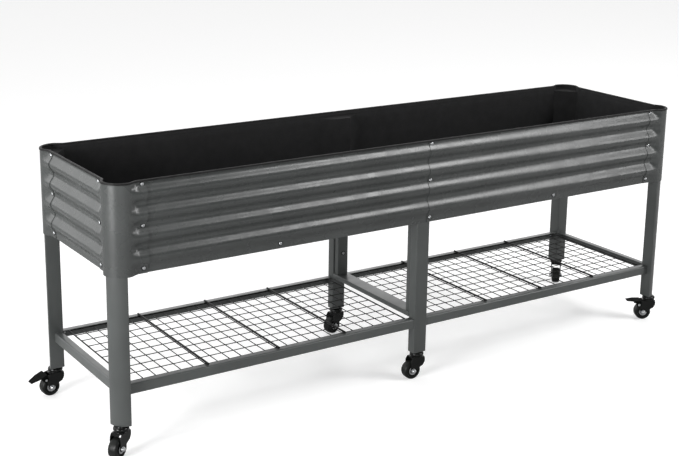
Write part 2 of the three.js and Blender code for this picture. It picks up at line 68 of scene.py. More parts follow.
BOLT_ROWS = (0, 2, 4)  # valleys that hold bolts, counted from the lowest

# The trim's outer and inner faces are measured inwards from the sheet's outside, and its skirt
# hangs down from the rim. Any other "inset" is from the bed's outside, and "edge" is the radius
# of a rounded edge.
TRIM = {"outer": -1.7, "inner": 6.8, "wall": 1.4, "skirt": 5.6, "crown": 2.2}
LEG = {"width": 47, "inset": 3.5, "radius": 49.5, "wall": 2, "edge": 2.6}
MIDDLE_LEG = {"x": -9, "width": 50, "depth": 34, "inset": 19.5, "wall": 2, "edge": 3.6}
UPRIGHT = {"width": 42, "depth": 22, "wall": 2, "play": 2, "edge": 3.4}
LEG_BOTTOM, LEG_TOP = 92, 794
RAIL = {"flange": 23, "height": 30, "wall": 2, "inset": 22, "top": 212, "bend": 5, "edge": 0.5}
MIDDLE_RAIL = {"width": 50, "height": 16, "wall": 2, "top": 228, "edge": 1.8}
CROSS_BAR_BOTTOM = 545
CROSS_BAR_X = 548
FLOOR_TOP = 569.8
LINER = {"inset": 20, "clear": 6, "thickness": 0.8, "over_floor": 1.6, "over_leg": 2.5}
LINER_MERGE, SOLID_MERGE = 0.5, 0.02  # points closer than this become one
FORK_BEVEL, PEDAL_BEVEL, SOLID_BEVEL = 0.7, 0.5, 0.5

SHELF = {"from_leg": 16.5, "x1": 1032, "half_width": 237.4, "along": 24, "across": 9}
WIRE, BORDER_WIRE, ROD = 3, 4.6, 6.6
SHELF_RODS = (0.25, 0.5, 0.75)  # shares of the shelf's length
ROD_REST = 12  # how far a rod reaches past the shelf's border, onto the rail

WHEEL = {"radius": 30, "width": 30, "offset": 22}
FORK = {"inside": 16.5, "plate": 2.5, "top": 75, "front": -22, "back": 24, "boss": 9}
PEDAL = {"x": 40.5, "z": 59, "pressed": 22, "heel": -10, "neck": 16, "toe": 45, "plate": 2.5}
PEDAL_TIP = 12  # half the width at the toe
STEM_INSET = 27
CORNER_X, CORNER_Y = LENGTH / 2 - STEM_INSET, WIDTH / 2 - STEM_INSET
MIDDLE_Y = WIDTH / 2 - MIDDLE_LEG["inset"] - MIDDLE_LEG["depth"] / 2
CASTERS = {  # x, y, the way the wheel trails in degrees, and the brake pedal's state
    "front_left": (-CORNER_X, -CORNER_Y, 212, None),
    "front_middle": (MIDDLE_LEG["x"], -MIDDLE_Y, 176, None),
    "front_right": (CORNER_X, -CORNER_Y, 152, "released"),
    "back_left": (-CORNER_X, CORNER_Y, 184, "pressed"),
    "back_middle": (MIDDLE_LEG["x"], MIDDLE_Y, 194, None),
    "back_right": (CORNER_X, CORNER_Y, 230, None),
}
# Repeated parts are drawn at the front left and mirrored by these signs.
QUARTERS = {
    "front_left": (1, 1),
    "front_right": (-1, 1),
    "back_left": (1, -1),
    "back_right": (-1, -1),
}
LEFT_AND_RIGHT = (("left", 1), ("right", -1))
FRONT_AND_BACK = (("front", 1), ("back", -1))

trim_low, trim_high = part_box("rim_trim")
BED = Matrix.Translation(((trim_low.x + trim_high.x) / 2, (trim_low.y + trim_high.y) / 2, 0))
BED = BED @ Matrix.Scale(MM, 4)


# ---- materials ----
def new_material(name):
    material = bpy.data.materials.new(name)
    material.use_nodes = True
    nodes = material.node_tree.nodes
    return material, nodes, material.node_tree.links, nodes["Principled BSDF"]


def noise(nodes, links, scale, detail=3.0):
    """A noise texture over the piece's own coordinates, in metres."""
    where = nodes.new("ShaderNodeTexCoord")
    texture = nodes.new("ShaderNodeTexNoise")
    texture.inputs["Scale"].default_value = scale
    texture.inputs["Detail"].default_value = detail
    links.new(where.outputs["Object"], texture.inputs["Vector"])
    return texture.outputs["Fac"]


def map_range(nodes, links, source, first, last, low, high):
    """A node that runs from low to high as the source goes from first to last."""
    node = nodes.new("ShaderNodeMapRange")
    ends = {"From Min": first, "From Max": last, "To Min": low, "To Max": high}
    for socket, value in ends.items():
        node.inputs[socket].default_value = value
    links.new(source, node.inputs["Value"])
    return node


def spread(nodes, links, source, low, high):
    """A value that runs from low to high as a noise goes through its middle range."""
    return map_range(nodes, links, source, 0.3, 0.7, low, high).outputs["Result"]


def mix(nodes, links, factor, first, second):
    """A mix of two colours, each a colour or a socket."""
    blend = nodes.new("ShaderNodeMix")
    blend.data_type = "RGBA"
    links.new(factor, blend.inputs[0])
    for socket, value in ((blend.inputs[6], first), (blend.inputs[7], second)):
        if isinstance(value, bpy.types.NodeSocket):
            links.new(value, socket)
        else:
            socket.default_value = (*value, 1)
    return blend.outputs[2]


def bump(nodes, links, shader, height, strength, depth_mm):
    relief = nodes.new("ShaderNodeBump")
    relief.inputs["Strength"].default_value = strength
    relief.inputs["Distance"].default_value = depth_mm * MM
    links.new(height, relief.inputs["Height"])
    links.new(relief.outputs["Normal"], shader.inputs["Normal"])


def coated_metal(name, colour, roughness, relief, wear_and_highlight, specular=0.5):
    """Powder coat: fine orange peel, cloudy tone and gloss, and paler edges: part wear, part
    painted highlight.
    """
    cloud_scale, gloss_scale, grain_scale = 5, 18, 700
    edge_starts, edge_full = 0.56, 0.72
    material, nodes, links, shader = new_material(name)
    darker = tuple(0.86 * c for c in colour)
    lighter = tuple(1.14 * c for c in colour)
    clouds = spread(nodes, links, noise(nodes, links, cloud_scale), 0, 1)
    cloudy = mix(nodes, links, clouds, darker, lighter)
    # Pointed edges turn paler: partly real wear, partly a painted highlight along the edges.
    pointed = nodes.new("ShaderNodeNewGeometry").outputs["Pointiness"]
    worn_and_lit_edges = map_range(nodes, links, pointed, edge_starts, edge_full, 0, wear_and_highlight)
    pale = tuple(min(1, 2.6 * c + 0.03) for c in colour)
    links.new(mix(nodes, links, worn_and_lit_edges.outputs["Result"], cloudy, pale), shader.inputs["Base Color"])
    patches = noise(nodes, links, gloss_scale)
    gloss = spread(nodes, links, patches, roughness - 0.05, roughness + 0.06)
    links.new(gloss, shader.inputs["Roughness"])
    shader.inputs["Specular IOR Level"].default_value = specular
    bump(nodes, links, shader, noise(nodes, links, grain_scale, 1), 0.3, relief)
    return material


def moulded(name, colour, roughness, grain, relief):
    """Rubber and plastic: a matt skin with a fine grain and dusty patches."""
    patch_scale, gloss_scale, dust = 40, 90, 0.008
    material, nodes, links, shader = new_material(name)
    shader.inputs["Specular IOR Level"].default_value = 0.18
    dusty = tuple(c + dust for c in colour)
    patches = spread(nodes, links, noise(nodes, links, patch_scale), 0, 1)
    links.new(mix(nodes, links, patches, colour, dusty), shader.inputs["Base Color"])
    shine = noise(nodes, links, gloss_scale)
    gloss = spread(nodes, links, shine, roughness - 0.06, roughness + 0.08)
    links.new(gloss, shader.inputs["Roughness"])
    bump(nodes, links, shader, noise(nodes, links, grain, 2), 0.6, relief)
    return material


def bright_metal(name):
    """Zinc plate: bright, with fine brushing and faint stains."""
    stain_scale, gloss_scale, brush_scale = 220, 500, 1800
    clean, stained = (0.58, 0.59, 0.60), (0.42, 0.43, 0.44)
    material, nodes, links, shader = new_material(name)
    stains = spread(nodes, links, noise(nodes, links, stain_scale), 0, 1)
    links.new(mix(nodes, links, stains, clean, stained), shader.inputs["Base Color"])
    gloss = spread(nodes, links, noise(nodes, links, gloss_scale), 0.24, 0.4)
    links.new(gloss, shader.inputs["Roughness"])
    shader.inputs["Metallic"].default_value = 1.0
    bump(nodes, links, shader, noise(nodes, links, brush_scale, 1), 0.3, 0.02)
    return material


def cloth(name):
    """Black non-woven cloth: crossed short fibres and a dull sheen."""
    fibre_scale, gloss_scale = 1400, 30
    dark, pale = (0.008, 0.008, 0.008), (0.020, 0.020, 0.021)
    material, nodes, links, shader = new_material(name)
    fibres = noise(nodes, links, fibre_scale, 4)
    tone = spread(nodes, links, fibres, 0, 1)
    links.new(mix(nodes, links, tone, dark, pale), shader.inputs["Base Color"])
    gloss = spread(nodes, links, noise(nodes, links, gloss_scale), 0.82, 0.98)
    links.new(gloss, shader.inputs["Roughness"])
    shader.inputs["Specular IOR Level"].default_value = 0.25
    bump(nodes, links, shader, fibres, 0.7, 0.3)
    return material


GREY = (0.042, 0.0452, 0.0443)
# The frame has the panels' paint made 1.32 times lighter: painted light that makes up for the
# shade the legs and rails get under the bed.
FRAME_GREY_PAINTED_LIGHTER = tuple(1.32 * c for c in GREY)
BLACK = (0.003, 0.0034, 0.0032)
WIRE_BLACK = (0.0025, 0.0028, 0.0026)
PANEL_PAINT = coated_metal("panel_paint", GREY, 0.27, relief=0.03, wear_and_highlight=0.1)
FRAME_PAINT = coated_metal("frame_paint", FRAME_GREY_PAINTED_LIGHTER, 0.34, relief=0.04, wear_and_highlight=0.2)
WIRE_PAINT = coated_metal("wire_paint", WIRE_BLACK, 0.4, relief=0.03, wear_and_highlight=0.08, specular=0.12)
CASTER_PAINT = coated_metal("caster_black", BLACK, 0.2, relief=0.03, wear_and_highlight=0.08, specular=0.26)
PEDAL_PAINT = coated_metal("pedal_black", BLACK, 0.6, relief=0.05, wear_and_highlight=0.1, specular=0.03)
TREAD = moulded("wheel_tread", (0.004, 0.0048, 0.0042), 0.38, 1500, 0.05)
RIM_RUBBER = moulded("rim_rubber", (0.006, 0.006, 0.006), 0.55, 1200, 0.06)
ZINC = bright_metal("bright_zinc")
LINER_CLOTH = cloth("liner_cloth")


# ---- mesh making ----
SHARP_ANGLE, BEVEL_ANGLE = radians(38), radians(40)
ROUNDED_TURN = radians(30)


def make_piece(name, points, faces, material, slot, body="frame", place=None, nodes=()):
    """A mesh from points in millimetres, riding on a body and standing for CAD nodes."""
    matrix = BED @ place if place else BED
    mesh = bpy.data.meshes.new(name)
    mesh.from_pydata([matrix @ Vector(p) for p in points], [], faces)
    if matrix.determinant() < 0:
        mesh.flip_normals()
    mesh.polygons.foreach_set("use_smooth", [True] * len(mesh.polygons))
    mesh.set_sharp_from_angle(angle=SHARP_ANGLE)
    mesh.materials.append(material)
    piece = bpy.data.objects.new(name, mesh)
    bpy.context.scene.collection.objects.link(piece)
    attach(piece, body)
    if nodes:
        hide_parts(*nodes)
    return piece


def stand_in(name, suffix, part, material, slot, place=None):
    """A piece of the frame that stands for the CAD node of its name."""
    return make_piece(f"{name}_{suffix}", *part, material, slot, place=place, nodes=[name])


def bevel(piece, width_mm):
    edge = piece.modifiers.new("edge", "BEVEL")
    edge.width = width_mm * MM
    edge.segments = 2
    edge.limit_method = "ANGLE"
    edge.angle_limit = BEVEL_ANGLE


def loft(rings, closed=False):
    """Points and faces of a skin through rings of equal length, capped unless it closes."""
    size = len(rings[0])
    points = [p for ring in rings for p in ring]
    faces = []
    for k in range(len(rings) if closed else len(rings) - 1):
        a, b = k * size, (k + 1) % len(rings) * size
        for i in range(size):
            j = (i + 1) % size
            faces.append((a + i, a + j, b + j, b + i))
    if not closed:
        faces.append(tuple(reversed(range(size))))
        faces.append(tuple(range(len(points) - size, len(points))))
    return points, faces


def joined(*parts):
    """Several (points, faces) as one."""
    points, faces = [], []
    for part_points, part_faces in parts:
        start = len(points)
        points += part_points
        faces += [tuple(start + i for i in face) for face in part_faces]
    return points, faces


def moved(part, matrix):
    points, faces = part
    return [tuple(matrix @ Vector(p)) for p in points], faces


def lathe(profile, segments=40):
    """A turned solid about Z from (radius, height) points, from axis to axis or in a loop."""
    on_axis = profile[0][0] < 1e-6 and profile[-1][0] < 1e-6
    rings = []
    for k in range(segments):
        angle = 2 * pi * k / segments
        rings.append([(r * cos(angle), r * sin(angle), h) for r, h in profile])
    if not on_axis:
        return loft(rings, closed=True)
    size = len(profile) - 2
    points = [point for ring in rings for point in ring[1:-1]]
    points += [(0, 0, profile[0][1]), (0, 0, profile[-1][1])]
    first, last = len(points) - 2, len(points) - 1
    faces = []
    for k in range(segments):
        a, b = k * size, (k + 1) % segments * size
        for i in range(size - 1):
            faces.append((a + i, b + i, b + i + 1, a + i + 1))
        faces.append((first, b, a))
        faces.append((last, a + size - 1, b + size - 1))
    return points, faces


def shell(columns, rows, point_at):
    """A closed thin sheet over a grid; point_at(column, row, skin) gives its two skins."""
    points = [point_at(c, r, skin) for skin in (0, 1) for c in range(columns) for r in range(rows)]

    def at(c, r, skin):
        return (skin * columns + c) * rows + r

    faces = []
    for c in range(columns - 1):
        for r in range(rows - 1):
            faces.append((at(c, r, 0), at(c + 1, r, 0), at(c + 1, r + 1, 0), at(c, r + 1, 0)))
            faces.append((at(c, r + 1, 1), at(c + 1, r + 1, 1), at(c + 1, r, 1), at(c, r, 1)))
        top = rows - 1
        faces.append((at(c + 1, 0, 0), at(c, 0, 0), at(c, 0, 1), at(c + 1, 0, 1)))
        faces.append((at(c, top, 0), at(c + 1, top, 0), at(c + 1, top, 1), at(c, top, 1)))
    for r in range(rows - 1):
        end = columns - 1
        faces.append((at(0, r, 0), at(0, r + 1, 0), at(0, r + 1, 1), at(0, r, 1)))
        faces.append((at(end, r + 1, 0), at(end, r, 0), at(end, r, 1), at(end, r + 1, 1)))
    return points, faces


def filleted(outline, radius, steps=5):
    """An outline with an arc at each corner that turns by more than a slight bend."""
    result = []
    count = len(outline)
    for k, corner in enumerate(outline):
        here = Vector(corner)
        before = Vector(outline[k - 1]) - here
        after = Vector(outline[(k + 1) % count]) - here
        turn = pi - before.angle(after)
        if turn < ROUNDED_TURN:
            result.append(corner)
            continue
        reach = min(radius * tan(turn / 2), 0.45 * before.length, 0.45 * after.length)
        start = here + before.normalized() * reach
        end = here + after.normalized() * reach
        for i in range(steps + 1):
            t = i / steps
            point = (1 - t) ** 2 * start + 2 * t * (1 - t) * here + t * t * end
            result.append(tuple(point))
    return result


def prism(outline, low, high, place=Matrix.Identity(4)):
    """An outline in x and y, extruded from low to high along z, then placed."""
    return moved(loft([[(x, y, z) for x, y in outline] for z in (low, high)]), place)


# SIDE_ON stands an outline on edge.
SIDE_ON = Matrix(((1, 0, 0, 0), (0, 0, -1, 0), (0, 1, 0, 0), (0, 0, 0, 1)))
ACROSS = Matrix.Rotation(-pi / 2, 4, "X")  # a turned solid's axis laid along Y


def rod(start, end, radius, sides=10):
    """A round bar with slightly domed ends."""
    a, b = Vector(start), Vector(end)
    length = (b - a).length
    dome = 0.4 * radius
    profile = [(0, 0), (0.7 * radius, 0.1 * dome), (radius, dome)]
    profile += [(radius, length - dome), (0.7 * radius, length - 0.1 * dome), (0, length)]
    turn = (b - a).to_track_quat("Z", "Y").to_matrix().to_4x4()
    return moved(lathe(profile, sides), Matrix.Translation(a) @ turn)


# ---- the corrugated bed ----
def wave_depth(z):
    """How far the sheet lies behind its crests at a height."""
    crest_to_crest = (z - LOW_BOLT_Z) / WAVE_PITCH
    if not 0 < crest_to_crest < WAVE_COUNT:
        return WAVE_DEPTH
    return WAVE_DEPTH * (0.5 + 0.5 * cos(2 * pi * crest_to_crest))


PANEL_ROWS = 84
COLUMN_WIDTH = 26
END_COLUMNS = 16
HEIGHTS = [BED_BOTTOM + (SHEET_TOP - BED_BOTTOM) * r / (PANEL_ROWS - 1) for r in range(PANEL_ROWS)]


def unevenness(along, z):
    """The faint buckling of a thin sheet: a long and a short wave across each other."""
    long_wave, short_wave = 0.16, 0.12
    return long_wave * sin(along / 83 + z / 61) + short_wave * sin(along / 37 - z / 29 + 1.3)


def flat_panel(x0, x1, layer):
    """A straight corrugated sheet of the front wall."""
    columns = max(2, int((x1 - x0) / COLUMN_WIDTH))

    def point_at(c, r, skin):
        x = x0 + (x1 - x0) * c / (columns - 1)
        z = HEIGHTS[r]
        inset = wave_depth(z) + layer * LAYER + skin * SHEET + unevenness(x, z)
        return (x, -WIDTH / 2 + inset, z)

    return shell(columns, PANEL_ROWS, point_at)


def end_panel():
    """The corrugated sheet of the left end."""
    half = WIDTH / 2 - FLANGE_FLAT

    def point_at(c, r, skin):
        y = half - 2 * half * c / (END_COLUMNS - 1)
        z = HEIGHTS[r]
        inset = wave_depth(z) + LAYER + skin * SHEET + unevenness(y, z)
        return (-LENGTH / 2 + inset, y, z)

    return shell(END_COLUMNS, PANEL_ROWS, point_at)


def smooth(t):
    """A rise from 0 to 1 with level ends."""
    t = min(1, max(0, t))
    return t * t * (3 - 2 * t)


def corner_stations(reach):
    """Stations round the front left corner: x, y, inward direction, and share of the wave."""
    full_steps, taper_steps, arc_steps = 3, 9, 14
    taper = FLANGE_FLAT - CORNER_RADIUS
    flange = []
    if reach > FLANGE_FLAT:
        flange += [reach - (reach - FLANGE_FLAT) * i / full_steps for i in range(full_steps)]
    flange += [FLANGE_FLAT - taper * i / taper_steps for i in range(taper_steps + 1)]
    x0, y0 = -LENGTH / 2, -WIDTH / 2
    share = [smooth((s - CORNER_RADIUS) / taper) for s in flange]
    end = [(x0, y0 + s, 1, 0, w) for s, w in zip(flange, share)]
    side = [(x0 + s, y0, 0, 1, w) for s, w in zip(flange, share)][::-1]
    arc = []
    for i in range(1, arc_steps):
        ix, iy = cos(i / arc_steps * pi / 2), sin(i / arc_steps * pi / 2)
        arc.append((x0 + CORNER_RADIUS * (1 - ix), y0 + CORNER_RADIUS * (1 - iy), ix, iy, 0))
    return end + arc + side


def corner_panel():
    stations = corner_stations(FLANGE)

    def point_at(c, r, skin):
        x, y, ix, iy, share = stations[c]
        inset = wave_depth(HEIGHTS[r]) * share + skin * SHEET
        return (x + ix * inset, y + iy * inset, HEIGHTS[r])

    return shell(len(stations), PANEL_ROWS, point_at)


def mirror(sx, sy):
    return Matrix.Diagonal((sx, sy, 1, 1))


def make_walls():
    reach = LENGTH / 2 - FLANGE_FLAT
    under, over = flat_panel(-reach, LAP, 2), flat_panel(0, reach, 1)
    corner, end = corner_panel(), end_panel()

    def add_sheet(name, part, sx, sy):
        stand_in(name, "sheet", part, PANEL_PAINT, "panel_paint", mirror(sx, sy))

    for where, (sx, sy) in QUARTERS.items():
        add_sheet(f"corner_panel_{where}", corner, sx, sy)
        add_sheet(f"side_panel_{where}", under if sx > 0 else over, 1, sy)
    for where, sx in LEFT_AND_RIGHT:
        add_sheet(f"end_panel_{where}", end, sx, 1)


def full_ring(reach, spacing):
    """Stations all the way round the bed, with straight runs divided evenly."""
    corner = corner_stations(reach)
    turned = []
    for sx, sy, order in ((1, 1, 1), (-1, 1, -1), (-1, -1, 1), (1, -1, -1)):
        stations = corner[::order]
        turned.append([(x * sx, y * sy, ix * sx, iy * sy, w) for x, y, ix, iy, w in stations])
    ring = []
    for k, quarter in enumerate(turned):
        ring += quarter
        start, end = quarter[-1], turned[(k + 1) % 4][0]
        gap = hypot(end[0] - start[0], end[1] - start[1])
        count = int(gap / spacing)
        for i in range(1, count):
            t = i / count
            x, y = start[0] + (end[0] - start[0]) * t, start[1] + (end[1] - start[1]) * t
            ring.append((x, y, start[2], start[3], 1))
    return ring


TRIM_SPACING, LINER_SPACING = 60, 24  # between stations on the straight runs


def make_rim_trim():
    """The U-shaped rubber strip over the sheets' upper edges."""
    outer, inner, wall, crown = TRIM["outer"], TRIM["inner"], TRIM["wall"], TRIM["crown"]
    skirt, slot_top, shoulder = RIM_TOP - TRIM["skirt"], SHEET_TOP + GAP, RIM_TOP - crown
    middle = (outer + inner) / 2
    arc_steps = 8
    section = [(outer, skirt), (outer, shoulder)]
    for i in range(1, arc_steps):
        angle = pi - pi * i / arc_steps
        section.append((middle + (inner - middle) * cos(angle), shoulder + crown * sin(angle)))
    section += [(inner, shoulder), (inner, skirt), (inner - wall, skirt)]
    section += [(inner - wall, slot_top), (outer + wall, slot_top), (outer + wall, skirt)]
    rings = []
    for x, y, ix, iy, share in full_ring(FLANGE_FLAT, TRIM_SPACING):
        insets = [(WAVE_DEPTH * share + across, z) for across, z in section]
        rings.append([(x + ix * inset, y + iy * inset, z) for inset, z in insets])
    points, faces = loft(rings, closed=True)
    strip = points, [face[::-1] for face in faces]
    stand_in("rim_trim", "strip", strip, RIM_RUBBER, "rim_rubber")


# ---- the liner ----
def beside_legs(x, y):
    """A point of the liner, moved inwards until it clears the walls and the legs."""
    side, clear = LINER["inset"], LINER["clear"]
    chamfer = 2 * (LEG["inset"] + LEG["width"]) + clear
    bulge = MIDDLE_LEG["inset"] + MIDDLE_LEG["depth"] + clear - side
    slope_end = MIDDLE_LEG["width"] / 2 + clear + bulge
    u, v = LENGTH / 2 - abs(x), WIDTH / 2 - abs(y)
    u, v = max(u, side), max(v, side)
    short = chamfer - u - v
    if short > 0:
        u, v = u + short / 2, v + short / 2
    beside = abs(x - MIDDLE_LEG["x"])
    if beside < slope_end:
        v = max(v, side + min(bulge, slope_end - beside))
    return (1 if x > 0 else -1) * (LENGTH / 2 - u), (1 if y > 0 else -1) * (WIDTH / 2 - v)


def walked(stations):
    """The way round the ring from its first station to each one."""
    lengths = [0.0]
    for before, here in zip(stations, stations[1:]):
        lengths.append(lengths[-1] + hypot(here[0] - before[0], here[1] - before[1]))
    return lengths


def slack(along, fall):
    """How far the cloth's folds stand off the wall, more so the further it has fallen."""
    fold = 0.5 + 0.5 * sin(along / 47 + 2.1 * sin(along / 190) + 1.7 * fall)
    return 1.0 + 5.5 * fold * smooth(2.2 * fall)


def liner_rings(hem_z, floor_z):
    """Rings from the hem over the leg tops, down the walls and across the floor."""
    behind_sheet, bend, wall_steps = 3, 3, 12
    foot_rings = ((6, 4), (16, 0))  # inset and height over the floor
    floor_shares = (0.12, 0.35, 0.65, 1)  # of the way to the middle line
    drawn_in = 0.03  # the middle line's ends, as a share of their distance
    stations = full_ring(FLANGE_FLAT, LINER_SPACING)
    lengths = walked(stations)
    ledge_z = LEG_TOP + LINER["over_leg"]
    wall_top, wall_foot = ledge_z - 2, floor_z + 12
    levels = [("hem", hem_z), ("hem", ledge_z + bend), ("hem", ledge_z)]
    levels += [("wall", wall_top - (wall_top - wall_foot) * i / wall_steps)
               for i in range(wall_steps + 1)]
    rings = []
    for kind, z in levels:
        ring = []
        for (x, y, ix, iy, share), along in zip(stations, lengths):
            inset = WAVE_DEPTH * share + behind_sheet + 2 * LAYER * share
            px, py = x + ix * inset, y + iy * inset
            if kind == "wall":
                px, py = beside_legs(px, py)
                off = slack(along, (hem_z - z) / (hem_z - floor_z))
                px, py = px + ix * off, py + iy * off
            ring.append((px, py, z))
        rings.append(ring)
    foot = rings[-1]
    for inset, height in foot_rings:
        ring = []
        for (x, y, _), (_, _, ix, iy, _) in zip(foot, stations):
            ring.append((x + ix * inset, y + iy * inset, floor_z + height))
        rings.append(ring)
    edge = rings[-1]
    for t in floor_shares:
        rise = 2 * t * (1 - t)
        rings.append([((1 - drawn_in * t) * x, (1 - t) * y, floor_z + rise) for x, y, _ in edge])
    return rings


def make_liner():
    """A cloth bag pinned under the trim, whose floor closes on the bed's middle line."""
    hem_z, floor_z = RIM_TOP - TRIM["skirt"], FLOOR_TOP + LINER["over_floor"]
    points, faces = loft(liner_rings(hem_z, floor_z))
    open_faces = [face[::-1] for face in faces[:-2]]
    bag = stand_in("liner", "bag", (points, open_faces), LINER_CLOTH, "liner_cloth")
    closing = bag.modifiers.new("middle_line", "WELD")
    closing.merge_threshold = LINER_MERGE * MM
    thick = bag.modifiers.new("thickness", "SOLIDIFY")
    thick.thickness = LINER["thickness"] * MM
    thick.offset = 0


# ---- legs and rails ----
def tube(outline_at, wall, low, high):
    """An open tube between two heights; outline_at(inset) gives its outline."""
    round_off = 1.2
    levels = [(0, low + round_off), (0.3 * round_off, low + 0.3 * round_off), (round_off, low)]
    levels += [(wall, low), (wall, high), (round_off, high), (0, high - round_off)]
    rings = [[(x, y, z) for x, y in outline_at(inset)] for inset, z in levels]
    return loft(rings[::-1], closed=True)


def corner_leg_outline(inset):
    """A square section whose outer corner is one wide arc."""
    r = LEG["radius"] - inset
    centre = LEG["inset"] + LEG["radius"]
    far = LEG["inset"] + LEG["width"] - inset
    start = asin((centre - far) / r)
    outline = [(far, far)]
    steps = 20
    for i in range(steps + 1):
        angle = start + (i / steps) * (pi / 2 - 2 * start)
        outline.append((centre - r * cos(angle), centre - r * sin(angle)))
    outline = filleted(outline, LEG["edge"] - inset * 0.6)
    return [(x - LENGTH / 2, y - WIDTH / 2) for x, y in outline]


def box_outline(shape, first, inset):
    """A rounded rectangle on the middle legs' line, first millimetres from the bed's outside."""
    x0 = MIDDLE_LEG["x"] - shape["width"] / 2 + inset
    x1 = MIDDLE_LEG["x"] + shape["width"] / 2 - inset
    y0 = -WIDTH / 2 + first + inset
    y1 = -WIDTH / 2 + first + shape["depth"] - inset
    return filleted([(x0, y0), (x1, y0), (x1, y1), (x0, y1)], shape["edge"] - inset)


def middle_leg_outline(inset):
    return box_outline(MIDDLE_LEG, MIDDLE_LEG["inset"], inset)


UPRIGHT_INSET = MIDDLE_LEG["inset"] + MIDDLE_LEG["depth"] + UPRIGHT["play"]


def upright_outline(inset):
    return box_outline(UPRIGHT, UPRIGHT_INSET, inset)


def add_steel(name, suffix, part, sx=1, sy=1):
    stand_in(name, suffix, part, FRAME_PAINT, "frame_paint", mirror(sx, sy))


def make_legs():
    corner = tube(corner_leg_outline, LEG["wall"], LEG_BOTTOM, LEG_TOP)
    middle = tube(middle_leg_outline, MIDDLE_LEG["wall"], LEG_BOTTOM, LEG_TOP)
    low, high = MIDDLE_RAIL["top"] + GAP, CROSS_BAR_BOTTOM - GAP
    upright = tube(upright_outline, UPRIGHT["wall"], low, high)
    for where, (sx, sy) in QUARTERS.items():
        add_steel(f"leg_{where}", "tube", corner, sx, sy)
    for where, sy in FRONT_AND_BACK:
        add_steel(f"leg_{where}_middle", "tube", middle, 1, sy)
        add_steel(f"middle_upright_{where}", "tube", upright, 1, sy)


def angle_section():
    """An angle rail's section as inset and height, with its folded edge rounded."""
    inset, top, wall, bend, edge = (RAIL[key] for key in ("inset", "top", "wall", "bend", "edge"))
    arc_steps = 6
    arc = []
    for i in range(arc_steps + 1):
        a = pi - pi / 2 * i / arc_steps
        arc.append((inset + bend + bend * cos(a), top - bend + bend * sin(a)))
    far = inset + RAIL["flange"]
    low = top - RAIL["height"]
    return [
        (inset + edge, low), (inset, low + edge), *arc, (far - edge, top), (far, top - edge),
        (far, top - wall), (inset + wall + 1, top - wall), (inset + wall, top - wall - 1),
        (inset + wall, low),
    ]


def leg_reach(sx):
    """How far the middle legs reach to the left (sx > 0) or right of the bed's middle."""
    return MIDDLE_LEG["width"] / 2 - sx * MIDDLE_LEG["x"]


def middle_channel():
    """The section of the rail between the middle legs, open below."""
    w, top, wall = MIDDLE_RAIL["width"] / 2, MIDDLE_RAIL["top"], MIDDLE_RAIL["wall"]
    low = top - MIDDLE_RAIL["height"]
    left = [(-w, low), (-w + wall, low), (-w + wall, top - wall)]
    right = [(w - wall, top - wall), (w - wall, low), (w, low)]
    return filleted([*left, *right, (w, top), (-w, top)], MIDDLE_RAIL["edge"])


def make_rails():
    section = angle_section()
    leg_side = LEG["inset"] + LEG["width"]
    x0 = -LENGTH / 2 + leg_side + GAP
    for where, (sx, sy) in QUARTERS.items():
        x1 = -leg_reach(sx) - GAP
        long = loft([[(x, -WIDTH / 2 + inset, z) for inset, z in section] for x in (x1, x0)])
        add_steel(f"shelf_rail_{where}", "angle", long, sx, sy)
    half = WIDTH / 2 - leg_side - GAP
    end = loft([[(-LENGTH / 2 + inset, y, z) for inset, z in section] for y in (-half, half)])
    for where, sx in LEFT_AND_RIGHT:
        add_steel(f"shelf_end_rail_{where}", "angle", end, sx)
    reach = MIDDLE_Y - MIDDLE_LEG["depth"] / 2 - GAP
    channel = middle_channel()
    rail = loft([[(x + MIDDLE_LEG["x"], y, z) for x, z in channel] for y in (reach, -reach)])
    add_steel("shelf_middle_rail", "channel", rail)


def shelf_part(x0):
    """Welded wire: thin wires both ways, a thicker border, and three rods laid on the rails."""
    x1, half = SHELF["x1"], SHELF["half_width"]
    rod_z = RAIL["top"] + GAP + ROD / 2
    long_z = rod_z - ROD / 2 - WIRE / 2
    short_z = long_z - 0.85 * WIRE  # the wires are pressed into each other where they cross
    border = BORDER_WIRE / 2
    buried = 1  # how far a wire's end stops short of the border's outside
    rod_inset = 1.5
    bead_reach, bead_radius, bead_drop = 3.2, 2.2, 2
    parts = []
    for j in range(1, SHELF["across"]):
        y = -half + border + (2 * half - 2 * border) * j / SHELF["across"]
        parts.append(rod((-x1 + buried, y, long_z), (-x0 - buried, y, long_z), WIRE / 2, 8))
    for i in range(1, SHELF["along"]):
        x = -x1 + border + (x1 - x0 - 2 * border) * i / SHELF["along"]
        parts.append(rod((x, -half + buried, short_z), (x, half - buried, short_z), WIRE / 2, 8))
    border_z = (long_z + short_z) / 2
    for y in (-half + border, half - border):
        parts.append(rod((-x1, y, border_z), (-x0, y, border_z), border, 12))
    for x in (-x1 + border, -x0 - border):
        parts.append(rod((x, -half, border_z), (x, half, border_z), border, 12))
    for share in SHELF_RODS:
        x = -x1 + rod_inset + share * (x1 - x0 - 2 * rod_inset)
        reach = half + ROD_REST
        parts.append(rod((x, -reach, rod_z), (x, reach, rod_z), ROD / 2, 14))
        for side in (-1, 1):
            y, z = side * (half - border), rod_z - bead_drop
            parts.append(rod((x - bead_reach, y, z), (x + bead_reach, y, z), bead_radius, 8))
    return joined(*parts)


def make_shelves():
    for where, sx in LEFT_AND_RIGHT:
        shelf = shelf_part(leg_reach(sx) + SHELF["from_leg"])
        stand_in(f"wire_shelf_{where}", "mesh", shelf, WIRE_PAINT, "wire_paint", mirror(sx, 1))


# ---- bolts ----
def turned_at(profile, position, direction):
    """A turned solid that stands on a position and faces a direction."""
    turn = Vector(direction).to_track_quat("Z", "Y").to_matrix().to_4x4()
    return moved(lathe(profile, 24), Matrix.Translation(Vector(position)) @ turn)


